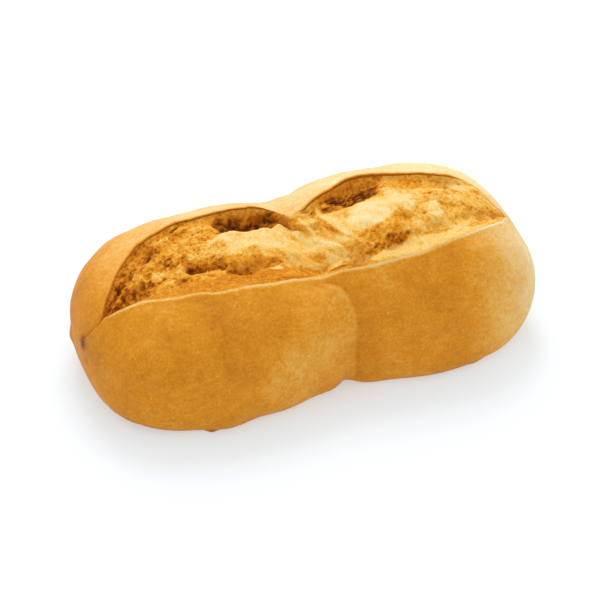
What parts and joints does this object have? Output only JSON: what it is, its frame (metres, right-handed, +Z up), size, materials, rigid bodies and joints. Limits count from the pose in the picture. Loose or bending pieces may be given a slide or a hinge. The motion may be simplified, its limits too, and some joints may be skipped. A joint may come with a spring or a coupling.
{
  "type": "double bread roll",
  "caption": "Golden double bread roll: two oval rolls baked end to end as one loaf, flat underneath, burst open along one long cut with a raised rear lip.",
  "frame": {"origin": "middle of the loaf's length and width, on the plane of its flat base", "axes": "+X along the loaf towards the taller roll, +Y to the back, where the raised lip of the burst is, +Z up"},
  "size_m": [0.1702, 0.0932, 0.0537],
  "materials": {
    "crust": "golden baked crust, satin where it is smooth, finely mottled",
    "crumb": "torn crumb, rough, fibrous and open, pale cream to golden brown"
  },
  "bodies": {
    "root": {"double_roll": "crust"}
  },
  "joints": []
}
